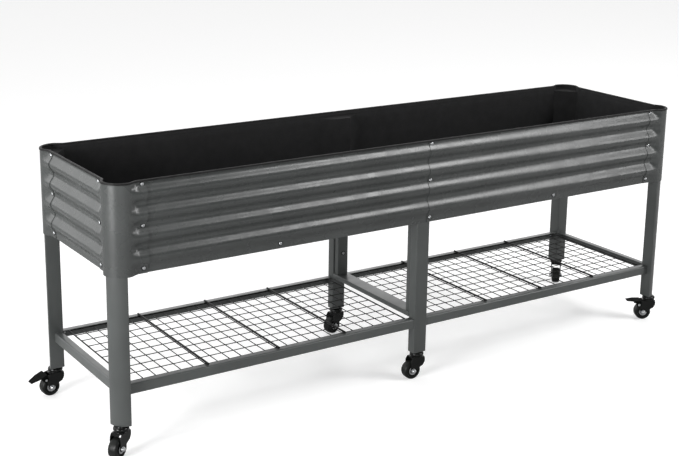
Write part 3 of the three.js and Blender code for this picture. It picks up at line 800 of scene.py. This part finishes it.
def add_bolts(name, places, size=PANEL_BOLT):
    """Domed socket screws on black washers, whose black paints the shadow ring round each head;
    each place is a position and the way it faces.
    """
    washer = [(0, 0), (1.35 * size, 0), (1.45 * size, 0.4), (1.4 * size, 1.2), (0, 1.2)]
    head = [(0, 1), (size, 1), (size, 1.7), (0.9 * size, 2.6), (0.68 * size, 3.4)]
    head += [(0.46 * size, 3.6), (0.44 * size, 1.9), (0, 1.9)]
    shade_ring_washers = joined(*[turned_at(washer, *place) for place in places])
    heads = joined(*[turned_at(head, *place) for place in places])
    # The washers' black is painted shade: the dark ring of shadow round each bolt head.
    make_piece(f"washers_{name}", *shade_ring_washers, RIM_RUBBER, "rim_rubber")
    make_piece(f"bolts_{name}", *heads, ZINC, "bright_zinc")


def make_bolts():
    rows = [LOW_BOLT_Z + WAVE_PITCH * k for k in BOLT_ROWS]
    rows[-1] -= TOP_ROW_DROP
    ends = (-LENGTH / 2 + SEAM_BOLT, LENGTH / 2 - SEAM_BOLT)
    for side, sy in FRONT_AND_BACK:
        out = -sy
        y = out * (WIDTH / 2 - WAVE_DEPTH)
        places = [((x, y, z), (0, out, 0)) for z in rows for x in ends]
        places += [((MIDDLE_BOLT_X, y - out * LAYER, z), (0, out, 0)) for z in rows]
        for x, layer in ((-CROSS_BAR_X, 2), (CROSS_BAR_X, 1)):
            places.append(((x, y - out * layer * LAYER, LOW_BOLT_Z), (0, out, 0)))
        add_bolts(side, places)
        upright_face = out * (WIDTH / 2 - UPRIGHT_INSET - UPRIGHT["depth"])
        upright_bolt = (MIDDLE_LEG["x"], upright_face, UPRIGHT_BOLT_Z)
        add_bolts(f"upright_{side}", [(upright_bolt, (0, -out, 0))])
        rail_face = out * (WIDTH / 2 - RAIL["inset"] - RAIL["wall"])
        rail_bolts = [(x, rail_face, RAIL_BOLT_Z) for x in (-RAIL_BOLT_X, RAIL_BOLT_X)]
        add_bolts(f"rail_{side}", [(bolt, (0, -out, 0)) for bolt in rail_bolts], RAIL_BOLT)
    for side, sx in LEFT_AND_RIGHT:
        out = -sx
        x = out * (LENGTH / 2 - WAVE_DEPTH)
        across = (-WIDTH / 2 + SEAM_BOLT, WIDTH / 2 - SEAM_BOLT)
        add_bolts(side, [((x, y, z), (out, 0, 0)) for z in rows for y in across])


# ---- casters: stem axis at x = y = 0, the wheel trails towards +x ----
def both_ways(half):
    """A profile and its mirror image, from end to end."""
    return half + [(r, -h) for r, h in reversed(half)]


def wheel_parts():
    """The wheel with its tyre, and the bright rings round its hub."""
    radius, w = WHEEL["radius"], WHEEL["width"] / 2
    hub = [(4.5, w + 1.1), (9, w + 1.1), (9.2, w + 0.1), (14.2, w)]
    groove = [(14.4, w - 3.5), (20.5, w - 4), (21.5, w - 0.8), (23, w - 0.2)]
    tread = [(radius - 3.2, w - 0.6), (radius - 1.1, w - 2.2), (radius - 0.25, w - 5)]
    profile = both_ways([*hub, *groove, *tread, (radius, w - 9)])
    place = Matrix.Translation((WHEEL["offset"], 0, radius)) @ ACROSS
    tyre = moved(lathe(profile[::-1], 56), place)
    ring = [(9.6, 0.9), (10, 1.2), (13.4, 1.2), (14, 0.9), (14, 0), (9.6, 0)]
    rings = []
    for side in (-1, 1):
        stand = Matrix.Translation((0, 0, side * (w + 0.05))) @ Matrix.Diagonal((1, side, side, 1))
        rings.append(moved(lathe(ring, 32), place @ stand))
    return tyre, joined(*rings)


def boss_arc(x, z, radius, start, end, steps=8):
    """Points of a cheek's rounded end, from one angle in degrees to another."""
    angles = [radians(start + (end - start) * i / steps) for i in range(steps + 1)]
    return [(x + radius * cos(a), z + radius * sin(a)) for a in angles]


def fork_part(braked):
    """Two cheeks under a crown plate with the swivel's dished race on top."""
    inside, plate, top = FORK["inside"], FORK["plate"], FORK["top"]
    front, back = FORK["front"], FORK["back"]
    outer = inside + plate
    x, z = WHEEL["offset"], WHEEL["radius"]
    outline = [(back, top - 0.6), (front + 2, top - 0.6), (front, top - 5), (front, top - 14)]
    outline += [(front + 2, top - 20), (front + 7, top - 28), (2, 38)]
    outline += boss_arc(x, z, FORK["boss"], 205, 350)
    if braked:
        outline += [(PEDAL["x"] - 2, PEDAL["z"] - 9)]
        outline += boss_arc(PEDAL["x"], PEDAL["z"], 6, -40, 60, 5)
        outline += [(back + 7, top - 3)]
    else:
        outline += [(back + 8, top - 24), (back + 7, top - 10)]
    cheeks = [prism(outline, low, low + plate, SIDE_ON) for low in (-outer, inside)]
    crown = filleted([(front, -outer), (back, -outer), (back, outer), (front, outer)], 5)
    race = [(7, top - 0.5), (20.5, top - 0.5), (21, top + 0.6), (19.5, top + 2.6)]
    race += [(16, top + 3.6), (7, top + 3.6)]
    return joined(*cheeks, prism(crown, top - plate, top), lathe(race, 44))


def stem_part():
    """The swivel's rivet under the crown, its upper cup, and the plug inside the leg."""
    top, leg, plug = FORK["top"], LEG_BOTTOM - GAP, LEG_BOTTOM + 24
    rivet = [(0, top - 7.4), (7, top - 7.4), (8.5, top - 6.4), (8.5, top - 3.2), (5, top - 3.2)]
    cup = [(5, top + 4.4), (21, top + 4.4), (23, top + 5.4), (23.5, top + 8), (23, top + 11.6)]
    cup += [(20.5, top + 14.2), (17.5, top + 15.2), (17, leg)]
    return lathe([*rivet, *cup, (10, leg), (10, plug), (0, plug)], 44)


def axle_part():
    """The axle, with a washer and a domed nut at each end."""
    face = FORK["inside"] + FORK["plate"] + 0.2
    shank_radius = 3.9
    shank = [(0, -face), (shank_radius, -face), (shank_radius, face), (0, face)]
    washer = [(0, 0), (8.3, 0), (8.5, 0.4), (8.3, 1.1), (0, 1.1)]
    nut = [(0, 1.1), (6.6, 1.1), (7, 1.6), (7, 4.2), (6.2, 4.8), (5.2, 5.2)]
    nut += [(4.6, 6.8), (3, 8), (0, 8.3)]
    parts = [lathe(shank, 20)]
    for side in (1, -1):
        stand = Matrix.Translation((0, 0, side * face)) @ Matrix.Diagonal((1, side, side, 1))
        parts.append(moved(joined(lathe(washer, 28), lathe(nut, 24)), stand))
    centre = Matrix.Translation((WHEEL["offset"], 0, WHEEL["radius"]))
    return moved(joined(*parts), centre @ ACROSS)


def pedal_parts():
    """The brake pedal about its pin, and the pin's riveted heads."""
    plate, tip, top = PEDAL["plate"], PEDAL_TIP, 16
    inner = FORK["inside"] + FORK["plate"] + GAP
    outer = inner + plate
    heel, neck, toe = PEDAL["heel"], PEDAL["neck"], PEDAL["toe"]
    pad = [(neck, -outer), (toe, -tip), (toe, tip), (neck, outer)]
    foot = filleted([(heel, -outer), *pad, (heel, outer)], 3)
    cheek = filleted([(heel, 15), (-8.5, -2), (-3, -7), (6, -7), (neck, 15)], 2.5)
    parts = [prism(foot, top - plate, top)]
    parts += [prism(cheek, low, low + plate, SIDE_ON) for low in (-outer, inner)]
    ridges, first_ridge, ridge_step, ridge_z = 5, 18, 5, 15.9
    for k in range(ridges):
        x = first_ridge + ridge_step * k
        reach = outer - (outer - tip) * (x - neck) / (toe - neck) - 2
        parts.append(rod((x, -reach, ridge_z), (x, reach, ridge_z), 1.0, 10))
    pin = [(0, -outer - 1.6), (3, -outer - 1.5), (4, -outer - 0.6), (4, -outer), (2.3, -outer)]
    return joined(*parts), moved(lathe(both_ways(pin), 24), ACROSS)


def make_casters():
    tyre, rings = wheel_parts()
    stem, axle = stem_part(), axle_part()
    pedal, pin = pedal_parts()
    for name, (x, y, trails, brake) in CASTERS.items():
        place = Matrix.Translation((x, y, 0)) @ Matrix.Rotation(radians(trails), 4, "Z")
        fork, wheel = f"fork_{name}", f"wheel_{name}"

        def add(label, part, material, slot, body, nodes=(), at=place):
            return make_piece(f"{label}_{name}", *part, material, slot, body, at, nodes)

        add("stem", stem, CASTER_PAINT, "caster_black", "frame", [f"caster_stem_{name}"])
        shape, nodes = fork_part(brake), [f"caster_fork_{name}"]
        fork_piece = add("fork_frame", shape, CASTER_PAINT, "caster_black", fork, nodes)
        bevel(fork_piece, FORK_BEVEL)
        add("axle_bolt", axle, ZINC, "bright_zinc", fork, [f"caster_axle_{name}"])
        add("tyre", tyre, TREAD, "wheel_tread", wheel, [f"caster_wheel_{name}"])
        add("hub_rings", rings, ZINC, "bright_zinc", wheel)
        if not brake:
            continue
        tilt = radians(PEDAL["pressed"] if brake == "pressed" else 0)
        pin_centre = Matrix.Translation((PEDAL["x"], 0, PEDAL["z"]))
        at = place @ pin_centre @ Matrix.Rotation(tilt, 4, "Y")
        body = f"pedal_{name}"
        lever = add("pedal", pedal, PEDAL_PAINT, "caster_black", body, [f"brake_pedal_{name}"], at)
        bevel(lever, PEDAL_BEVEL)
        add("pedal_pin", pin, ZINC, "bright_zinc", body, at=at)


# ---- solids that are shown as they are ----
def dress_solids():
    """The floor sheets and cross bars keep their CAD shapes, with painted and softened edges."""
    names = [f"floor_panel_{side}" for side in ("left", "right")]
    names += [f"cross_bar_{where}" for where in ("left", "middle", "right")]
    for name in names:
        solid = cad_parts[name]
        solid.data.materials.clear()
        solid.data.materials.append(FRAME_PAINT)
        weld = solid.modifiers.new("weld", "WELD")
        weld.merge_threshold = SOLID_MERGE * MM
        bevel(solid, SOLID_BEVEL)


# ---- stage, light and camera ----
STAGE_REACH = 30  # metres
FLOOR_SEEN, FLOOR_UNSEEN = (0.86, 0.86, 0.86), (0.5, 0.5, 0.5)  # by the camera, by the light
FLOOR_LIFT = 0.3  # a glow that only the camera sees, so that the floor meets the white background
GLOW_FRONT, GLOW_BACK = 0.12, 1.7  # the room's light from the front and from the back
GLOW_STARTS, GLOW_FULL = -0.3, 0.8  # where it begins to rise and stops, from -1 front to 1 back
LIGHTS = {  # position, target, size and power, in metres and watts
    "key": ((4.6, -3.9, 5.6), (0.2, -0.28, 0.7), (4.2, 0.9), 212),
    "right": ((3.6, -2.8, 2.1), (0.9, -0.28, 0.6), (0.8, 2.6), 54),
    "fill": ((-2.2, -5.2, 1.3), (0.3, 0, 0.4), (2.4, 1.2), 58),
    "left": ((-4.4, -1.2, 1.2), (-1.1, 0, 0.6), (1.6, 2.0), 205),
}


def make_stage():
    """The studio's plain floor."""
    mesh = bpy.data.meshes.new("studio_floor")
    r = STAGE_REACH
    corners = [(-r, -r, 0), (r, -r, 0), (r, r, 0), (-r, r, 0)]
    mesh.from_pydata(corners, [], [(0, 1, 2, 3)])
    floor = bpy.data.objects.new("studio_floor", mesh)
    bpy.context.scene.collection.objects.link(floor)
    material, nodes, links, shader = new_material("studio_floor")
    shader.inputs["Roughness"].default_value = 1.0
    shader.inputs["Specular IOR Level"].default_value = 0.0
    path = nodes.new("ShaderNodeLightPath")
    seen = path.outputs["Is Camera Ray"]
    links.new(mix(nodes, links, seen, FLOOR_UNSEEN, FLOOR_SEEN), shader.inputs["Base Color"])
    lift = nodes.new("ShaderNodeMath")
    lift.operation = "MULTIPLY"
    lift.inputs[1].default_value = FLOOR_LIFT
    links.new(seen, lift.inputs[0])
    shader.inputs["Emission Color"].default_value = (1, 1, 1, 1)
    links.new(lift.outputs[0], shader.inputs["Emission Strength"])
    mesh.materials.append(material)


def make_world():
    """White to the camera; as light on the object, dim from the front and bright from the back."""
    world = bpy.data.worlds.new("studio")
    bpy.context.scene.world = world
    world.use_nodes = True
    nodes, links = world.node_tree.nodes, world.node_tree.links
    background = nodes["Background"]
    background.inputs["Color"].default_value = (1, 1, 1, 1)
    towards = nodes.new("ShaderNodeTexCoord")
    parts = nodes.new("ShaderNodeSeparateXYZ")
    links.new(towards.outputs["Generated"], parts.inputs["Vector"])
    ahead = parts.outputs["Y"]
    glow = map_range(nodes, links, ahead, GLOW_STARTS, GLOW_FULL, GLOW_FRONT, GLOW_BACK)
    seen = nodes.new("ShaderNodeLightPath").outputs["Is Camera Ray"]
    level = map_range(nodes, links, seen, 0, 1, 0, 1)
    links.new(glow.outputs["Result"], level.inputs["To Min"])
    links.new(level.outputs["Result"], background.inputs["Strength"])


def area_light(name, position, target, size, power):
    """A rectangular lamp that faces its target."""
    light = bpy.data.lights.new(name, "AREA")
    light.shape = "RECTANGLE"
    light.size, light.size_y = size
    light.energy = power
    lamp = bpy.data.objects.new(name, light)
    lamp.location = position
    aim = Vector(target) - Vector(position)
    lamp.rotation_euler = aim.to_track_quat("-Z", "Y").to_euler()
    bpy.context.scene.collection.objects.link(lamp)


def make_lights():
    for name, (position, target, size, power) in LIGHTS.items():
        area_light(name, position, target, size, power)


# The camera stands front left, above the rim, as in the photograph.
EYE = (-2451.5, -3472.0, 1726.7)
YAW, PITCH, ROLL = 0.5963, 0.2474, 0.0179
FOCAL_PIXELS, IMAGE_WIDTH, IMAGE_HEIGHT = 1296.3, 679, 456
CENTRE_PIXEL = (356.9, 170.8)


def make_camera():
    ahead = Vector((sin(YAW) * cos(PITCH), cos(YAW) * cos(PITCH), -sin(PITCH)))
    level = Vector((cos(YAW), -sin(YAW), 0))
    up = level.cross(ahead)
    right = cos(ROLL) * level + sin(ROLL) * up
    over = -sin(ROLL) * level + cos(ROLL) * up
    camera = bpy.data.cameras.new("camera")
    camera.sensor_width = 36
    camera.lens = FOCAL_PIXELS * camera.sensor_width / IMAGE_WIDTH
    camera.shift_x = (IMAGE_WIDTH / 2 - CENTRE_PIXEL[0]) / IMAGE_WIDTH
    camera.shift_y = (CENTRE_PIXEL[1] - IMAGE_HEIGHT / 2) / IMAGE_WIDTH
    stand = bpy.data.objects.new("camera", camera)
    turn = Matrix((right, over, -ahead)).transposed().to_4x4()
    stand.matrix_world = Matrix.Translation(BED @ Vector(EYE)) @ turn
    bpy.context.scene.collection.objects.link(stand)
    bpy.context.scene.camera = stand


make_camera()
make_walls()
make_rim_trim()
make_liner()
make_legs()
make_rails()
make_shelves()
make_bolts()
make_casters()
dress_solids()
make_stage()
make_world()
make_lights()
bpy.context.scene.view_settings.view_transform = "Standard"
